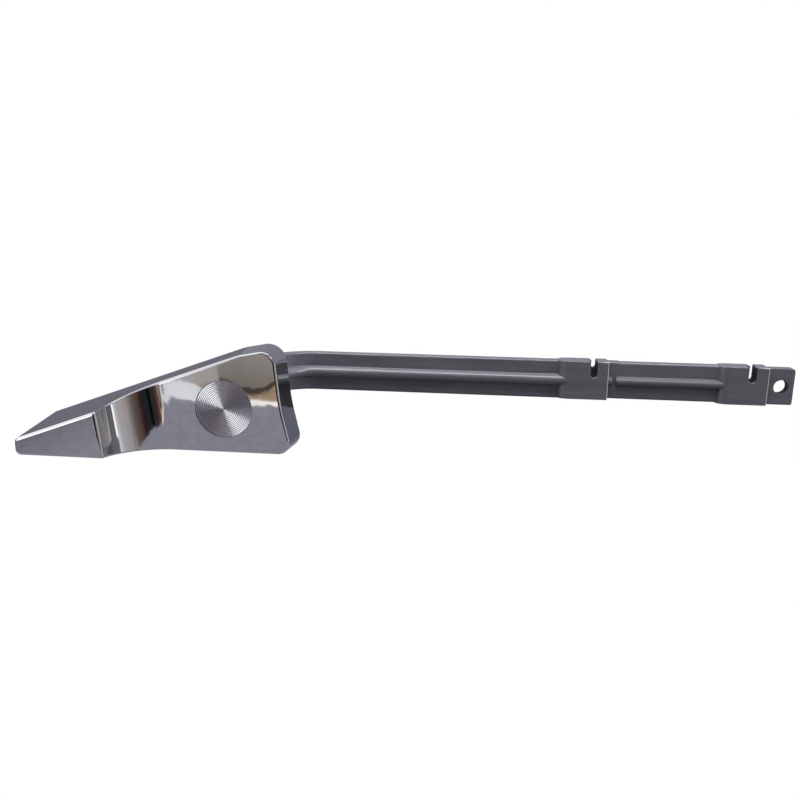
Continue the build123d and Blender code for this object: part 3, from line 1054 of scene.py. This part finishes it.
# thread: radius = root + (crest - root) * (flank * |2 phase - 1| - valley), held between root and crest,
# with phase = y over pitch less turns, and cut off by the cone of the end's chamfer
def threadSheet():
    step = bushing["threadStep"]
    y = np.arange(bushing["neckEnd"] - bushing["threadLap"], bushing["end"] + step / 10, step)[:, None]
    angle = np.linspace(0, 2 * np.pi, bushing["threadCount"] + 1)
    phase = (y / bushing["pitch"] - angle / (2 * np.pi)) % 1.0
    ridge = np.clip(bushing["flank"] * np.abs(2 * phase - 1) - bushing["valley"], 0, 1)
    radius = bushing["root"] + (bushing["crest"] - bushing["root"]) * ridge
    radius = np.minimum(radius, bushing["crest"] - y + bushing["end"] - bushing["chamfer"])
    along = np.gradient(radius, step, axis=0)
    turn = np.gradient(radius, angle[1], axis=1) / radius
    cos, sin = np.cos(angle), np.sin(angle)
    grid = join(radius * cos, y, radius * sin)
    return sheet(grid, unit(join(cos + turn * sin, -along, sin - turn * cos)))


# a turned flange, bore and end, the thread, the square neck and the lugs between two arcs
def bushingParts():
    rounding, front, seat = bushing["rounding"], bushing["front"], bushing["seat"]
    tip = bushing["crest"] - bushing["chamfer"]
    profile = [
        (tip, bushing["end"]),
        (bushing["bore"], bushing["end"]),
        (bushing["bore"], front),
        (bushing["flange"], front),
        (bushing["flange"], seat),
        (bushing["root"], seat),
    ]
    parts = turned(profile, rounding) + [threadSheet()]
    half = bushing["neck"]
    neck = dense(roundPath(rectangle(-half, half, -half, half), bushing["neckCorner"], 10), 1.0)
    parts += prism(neck, seat, bushing["neckEnd"], (0.0, rounding), ends=())
    # the neck's end runs in to the sleeve, and leaves the bore open
    ring = atDepth(neck[0] - neck[1] * rounding, bushing["neckEnd"])
    circle = unit(ring * [1, 0, 1]) * bushing["root"] + [0, bushing["neckEnd"], 0]
    parts.append(sheet([circle, ring], (0, 1, 0)))
    corner, inner, outer = bushing["lugCorner"], bushing["lugInner"], bushing["lugOuter"]
    radii = [corner] + [outer] * 5 + [corner, corner] + [inner] * 5 + [corner]
    for span in bushing["lugs"]:
        angle = np.radians(np.linspace(*span, 7))[:, None]
        ray = np.concatenate([np.cos(angle), np.sin(angle)], -1)
        outline = roundPath(np.concatenate([ray * outer, ray[::-1] * inner]), radii, 5)
        parts += prism(outline, bushing["lugFront"], seat, (rounding, 0.0), ends=(-1,))
    return parts


parts = bushingParts()
makePiece("threaded_bushing", parts, fittingPlastic, "mounting_bushing", "mount")
print("bushing built")

# the hidden and clamped pieces keep their CAD meshes, with soft edges
finishes = {
    "handle_screw": (steelMaterial, 0.1),
    "gasket": (rubberMaterial, 0.2),
    "nut_washer": (fittingPlastic, 0.15),
    "mounting_nut": (fittingPlastic, 0.25),
}
for name, (material, width) in finishes.items():
    piece = nodes[name]
    piece.data.materials.clear()
    piece.data.materials.append(material)
    weld = piece.modifiers.new("weld", "WELD")
    weld.merge_threshold = 1e-6
    flats = piece.modifiers.new("flats", "DECIMATE")
    flats.decimate_type = "DISSOLVE"
    flats.angle_limit = math.radians(0.6)
    edges = piece.modifiers.new("edges", "BEVEL")
    edges.width = width * mm
    edges.segments = 2
    edges.limit_method = "ANGLE"
    edges.angle_limit = math.radians(28)
    edges.use_clamp_overlap = False
    edges.harden_normals = True
print("pieces finished")


# one shader out of three by who sees it: the soft light on dull things, the bright metal, the camera
def byRay(tree, soft, mirrored, seen):
    path = addNode(tree, "ShaderNodeLightPath")
    links = [("Fac", path, "Is Glossy Ray"), (1, soft, 0), (2, mirrored, 0)]
    unseen = addNode(tree, "ShaderNodeMixShader", links=links)
    links = [("Fac", path, "Is Camera Ray"), (1, unseen, 0), (2, seen, 0)]
    return addNode(tree, "ShaderNodeMixShader", links=links)


# white for the camera, a cool grey for what the chrome mirrors, soft light that falls off downwards
room = {
    "seen": "#ffffff",
    "mirrored": "#74727c",
    "gain": 1.8,  # strength of all that the chrome mirrors
    "above": 0.8,
    "below": 0.12,
    "fallLow": -0.6,  # heights between which the soft light falls off, from -1 to 1
    "fallHigh": 0.8,
    "cardDistance": 1000,
}
world = bpy.data.worlds.new("room")
scene.world = world
world.use_nodes = True
tree = world.node_tree
tree.nodes.clear()
seen = addNode(tree, "ShaderNodeBackground", {"Color": colour(room["seen"]), "Strength": 1.0})
mirrored = addNode(
    tree,
    "ShaderNodeBackground",
    {"Color": colour(room["mirrored"]), "Strength": room["gain"]},
)
way = addNode(tree, "ShaderNodeTexCoord")
height = addNode(tree, "ShaderNodeSeparateXYZ", links=[("Vector", way, "Generated")])
fall = addNode(
    tree,
    "ShaderNodeMapRange",
    {
        "From Min": room["fallLow"],
        "From Max": room["fallHigh"],
        "To Min": room["below"],
        "To Max": room["above"],
    },
    [("Value", height, "Z")],
)
soft = addNode(tree, "ShaderNodeBackground", {"Color": colour("#ffffff")}, [("Strength", fall, "Result")])
surface = byRay(tree, soft, mirrored, seen)
addNode(tree, "ShaderNodeOutputWorld", links=[("Surface", surface, 0)])


# a staged sheet of quads, given by its lower and its upper row of points in millimetres
def stageSheet(name, low, high, material):
    rows = np.array([low, high], float) * mm
    columns = rows.shape[1]
    index = np.arange(2 * columns).reshape(2, columns)
    quads = np.stack([index[0, :-1], index[0, 1:], index[1, 1:], index[1, :-1]], -1)
    mesh = bpy.data.meshes.new(name)
    mesh.from_pydata(rows.reshape(-1, 3).tolist(), [], quads.tolist())
    mesh.materials.append(material)
    piece = bpy.data.objects.new(name, mesh)
    scene.collection.objects.link(piece)
    piece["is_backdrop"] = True
    return piece


# pale floor: white from above, clear from below, a finely woven cool grey where the chrome mirrors it
floor = {
    "level": -252,
    "half": 2500,
    "dark": "#706e79",
    "light": "#8a8893",
    "weave": 5.0,  # coarser than real cloth, so that it shows
    "dim": 0.68,  # what is left of its brightness on the far left
    "dimLeft": -560,
    "dimRight": -440,
}
floorMaterial, tree = newMaterial("floor")
place = addNode(tree, "ShaderNodeTexCoord")
weave = addNode(
    tree,
    "ShaderNodeTexNoise",
    {"Scale": 1 / (floor["weave"] * mm), "Detail": 2.0},
    [("Vector", place, "Object")],
)
tint = addNode(
    tree,
    "ShaderNodeValToRGB",
    {"stops": ((0.3, floor["dark"]), (0.7, floor["light"]))},
    [("Fac", weave, "Fac")],
)
across = addNode(tree, "ShaderNodeSeparateXYZ", links=[("Vector", place, "Object")])
shade = addNode(
    tree,
    "ShaderNodeMapRange",
    {
        "From Min": floor["dimLeft"] * mm,
        "From Max": floor["dimRight"] * mm,
        "To Min": room["gain"] * floor["dim"],
        "To Max": room["gain"],
    },
    [("Value", across, "X")],
)
woven = addNode(tree, "ShaderNodeEmission", links=[("Color", tint, "Color"), ("Strength", shade, "Result")])
white = addNode(tree, "ShaderNodeEmission", {"Color": colour(room["seen"]), "Strength": 1.0})
dim = addNode(tree, "ShaderNodeEmission", {"Color": colour(room["seen"]), "Strength": room["below"]})
upper = byRay(tree, dim, woven, white)
side = addNode(tree, "ShaderNodeNewGeometry")
clear = addNode(tree, "ShaderNodeBsdfTransparent")
surface = addNode(
    tree,
    "ShaderNodeMixShader",
    links=[("Fac", side, "Backfacing"), (1, upper, 0), (2, clear, 0)],
)
addNode(tree, "ShaderNodeOutputMaterial", links=[("Surface", surface, 0)])
half, level = floor["half"], floor["level"]
near = [(-half, -half, level), (half, -half, level)]
far = [(-half, half, level), (half, half, level)]
stageSheet("floor", near, far, floorMaterial)

# cards that only the bright metal sees; each column has its own tone, as it looks in the chrome
cardMaterial, tree = newMaterial("card")
tone = addNode(tree, "ShaderNodeAttribute", {"attribute_name": "tone"})
surface = addNode(tree, "ShaderNodeEmission", {"Strength": room["gain"]}, [("Color", tone, "Color")])
addNode(tree, "ShaderNodeOutputMaterial", links=[("Surface", surface, 0)])


# a sheet with a tone at each point of its two rows, times its boost
def addCard(name, low, high, lowTones, highTones=None, boost=1.0):
    piece = stageSheet(name, low, high, cardMaterial)
    tones = [colour(text) for text in [*lowTones, *(highTones or lowTones)]]
    layer = piece.data.color_attributes.new("tone", "FLOAT_COLOR", "POINT")
    layer.data.foreach_set("color", np.array(tones).ravel() * boost)
    piece.visible_camera = False
    piece.visible_diffuse = False
    piece.visible_shadow = False
    piece.visible_transmission = False


# opposite the flat face, 1 m off: each column is X, the lower and the upper Z, the two tones
frontCards = {
    "window": [
        (-441, -279, -220, "#c8c8cc", "#d2d2d6"),
        (-431, -242, -217, "#d0d0d6", "#d0d0d6"),
        (-410, -246, -212, "#d4d4da", "#d0d0d6"),
        (-385, -248, -221, "#d8d8dc", "#d0d0d6"),
        (-375, -230, -225, "#d8d8dc", "#d0d0d6"),
    ],
    "curtain": [
        (-441, -220, -60, "#a8a2a4", "#a8a2a4"),
        (-410, -212, -60, "#a09a9c", "#b0aaac"),
        (-375, -225, -60, "#98928f", "#a8a2a4"),
        (-347, -232, -60, "#98928f", "#a09a9c"),
    ],
    "cupboard": [
        (-347, -205, -60, "#77706b", "#98928f"),
        (-308, -220, -60, "#6e6761", "#a09a98"),
        (-289, -224, -60, "#6e6761", "#a8a2a0"),
        (-270, -219, -60, "#746c66", "#a8a2a0"),
        (-236, -196, -60, "#7c746c", "#a8a2a0"),
    ],
    "shelf": [
        (-347, -213, -205, "#4a4039", "#4a4039"),
        (-308, -229, -220, "#352f2b", "#352f2b"),
        (-289, -233, -224, "#352f2b", "#352f2b"),
        (-270, -228, -219, "#352f2b", "#352f2b"),
        (-236, -205, -196, "#352f2b", "#352f2b"),
    ],
    "shelf_front": [
        (-385, -243, -221, "#a08c78", "#8a7462"),
        (-347, -243, -213, "#a08c78", "#8a7462"),
        (-308, -243, -229, "#a08c78", "#8a7462"),
        (-289, -243, -233, "#a08c78", "#8a7462"),
        (-270, -243, -228, "#98826c", "#8a7462"),
        (-236, -243, -205, "#98826c", "#8a7462"),
    ],
    "ledge": [(-385, -250, -243, "#f2efe8", "#f2efe8"), (-236, -250, -243, "#f2efe8", "#f2efe8")],
    "dark_wall": [
        (-236, -244, 200, "#5e4540", "#6a5148"),
        (-170, -235, 200, "#4c3432", "#573a38"),
        (-111, -228, 200, "#372426", "#4a2f2c"),
        (-60, -223, 200, "#2a2322", "#332a28"),
        (6, -216, 200, "#2d2928", "#2d2928"),
        (60, -209, 200, "#0b0d0f", "#101416"),
        (120, -203, 200, "#04080a", "#04080a"),
        (181, -199, 200, "#1d2225", "#1d2225"),
        (302, -194, 200, "#201e1f", "#241a1b"),
        (431, -195, 200, "#2b1d1c", "#3a2422"),
        (520, -196, 200, "#43322c", "#3a2826"),
        (623, -198, 200, "#4d4038", "#493a34"),
        (800, -206, 200, "#5a4c48", "#504440"),
        (952, -212, 200, "#605d58", "#5e5b56"),
        (1001, -214, 200, "#6c6863", "#6a6661"),
    ],
}
# to the right, 1 m off: each column is Y, the lower and the upper Z, the two tones
rightCards = {
    "pale_wall": [
        (-1001, -190, 200, "#6c6863", "#6a6661"),
        (-930, -190, 200, "#726d6a", "#6f6a67"),
        (-787, -190, 200, "#8c8280", "#897e7c"),
        (-692, -190, 200, "#948f8e", "#8f8a88"),
        (-575, -190, 200, "#98928f", "#92898a"),
        (-395, -190, 200, "#9e999b", "#9c9698"),
        (-234, -190, 200, "#b4b2b6", "#908c8e"),
        (-171, -190, 200, "#d4d3d8", "#98959a"),
        (-138, -190, 200, "#c4c3c8", "#98959a"),
    ],
    "lamp_strip": [(-138, -103, 200, "#ffffff", "#ffffff"), (-80, -103, 200, "#ffffff", "#ffffff")],
    "lamp_foot": [(-138, -190, -103, "#8a888c", "#77757c"), (-80, -190, -103, "#77757c", "#66646a")],
    "dark_cloth": [
        (-80, -250, 200, "#6a686c", "#302c30"),
        (10, -250, 200, "#6c6a6c", "#46414a"),
        (120, -250, 200, "#66646a", "#403c42"),
        (300, -250, 200, "#4a484e", "#3a373c"),
        (480, -250, 200, "#5a585e", "#55525a"),
        (800, -250, 200, "#75737a", "#75737a"),
        (1300, -250, 200, "#7d7b84", "#7d7b84"),
    ],
}
for plane, cards in (("front", frontCards), ("right", rightCards)):
    for name, columns in cards.items():
        places, low, high, lowTones, highTones = zip(*columns)
        away = [room["cardDistance"]] * len(places)
        across = (places, [-y for y in away]) if plane == "front" else (away, places)
        addCard(name, list(zip(*across, low)), list(zip(*across, high)), lowTones, highTones)

# bright panes beside the front cards for the disc's fans, and one high on the right for the handle's corner
addCard(
    "fan_pane",
    [(-1150, -1000, -160), (-475, -1000, -160)],
    [(-1150, -1000, 180), (-475, -1000, 180)],
    ("#ffffff", "#ffffff"),
    boost=1.7,
)
addCard(
    "corner_pane",
    [(520, -620, 520), (760, -250, 520)],
    [(420, -520, 720), (640, -180, 720)],
    ("#ffffff", "#ffffff"),
)

# behind to the left a grey wall, behind to the right a dark cloth, above to the left a tall white sheet
addCard(
    "grey_wall",
    [(-1100, 1000, -100), (-300, 1000, -100)],
    [(-1100, 1000, 250), (-300, 1000, 250)],
    ("#5c5963", "#605d68"),
)
addCard(
    "navy_cloth",
    [(330, 1000, -420), (900, 1000, -420)],
    [(330, 1000, 60), (900, 1000, 60)],
    ("#2c2c38", "#2c2c38"),
    ("#666876", "#666876"),
)
addCard(
    "cloth_foot",
    [(120, 350, -250), (900, 350, -250)],
    [(120, 1000, -250), (900, 1000, -250)],
    ("#5e5c66", "#5e5c66"),
)
addCard(
    "white_sheet",
    [(-700, -900, 150), (-700, 600, 260)],
    [(-350, -900, 1300), (-350, 600, 1300)],
    ("#ffffff", "#ffffff"),
    ("#808088", "#808088"),
)
addCard(
    "ceiling_pane",
    [(-330, -210, 520), (250, -210, 520)],
    [(-330, 90, 520), (250, 90, 520)],
    ("#ffffff", "#ffffff"),
)


# an area light at a place in millimetres, turned to a target
def softbox(name, place, target, size, power):
    light = bpy.data.lights.new(name, "AREA")
    light.shape = "RECTANGLE"
    light.size = size[0] * mm
    light.size_y = size[1] * mm
    light.energy = power
    lamp = bpy.data.objects.new(name, light)
    scene.collection.objects.link(lamp)
    lamp.location = Vector(place) * mm
    way = (Vector(target) - Vector(place)).normalized()
    lamp.rotation_mode = "QUATERNION"
    lamp.rotation_quaternion = way.to_track_quat("-Z", "Y")
    return lamp


lights = {
    "top": {"place": (20, -60, 520), "target": (40, 20, 0), "size": (700, 300), "power": 8.0},
    "side": {"place": (780, -60, 80), "target": (140, 48, 0), "size": (300, 400), "power": 4.0},
}
lamps = {name: softbox(name, **values) for name, values in lights.items()}
lamps["side"].visible_glossy = False
# the lamps light the plastic alone: the bright metal shows only the room and the cards
brightMetal = bpy.data.collections.new("bright_metal")
for name in ("chrome_handle", "disc_cap"):
    brightMetal.objects.link(bpy.data.objects[name])
for member in brightMetal.collection_objects:
    member.light_linking.link_state = "EXCLUDE"
for lamp in lamps.values():
    lamp.light_linking.receiver_collection = brightMetal
print("lights placed")

# the photograph's point of view
view = {
    "place": (73.14, -224.28, 55.60),
    "right": (0.9943, 0.1054, 0.0132),
    "down": (0.0373, -0.2295, -0.9726),
    "lens": 35.1,
    "sensor": 36.0,
    "nearest": 0.01,  # in metres
    "farthest": 20.0,
}
camera = bpy.data.cameras.new("view")
camera.sensor_width = view["sensor"]
camera.lens = view["lens"]
camera.clip_start = view["nearest"]
camera.clip_end = view["farthest"]
cameraObject = bpy.data.objects.new("view", camera)
scene.collection.objects.link(cameraObject)
right = Vector(view["right"]).normalized()
up = -Vector(view["down"]).normalized()
back = right.cross(up).normalized()
up = back.cross(right)
turn = Matrix((right, up, back)).transposed()
cameraObject.matrix_world = Matrix.LocRotScale(Vector(view["place"]) * mm, turn.to_quaternion(), None)
scene.camera = cameraObject
scene.view_settings.view_transform = "Standard"

low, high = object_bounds()
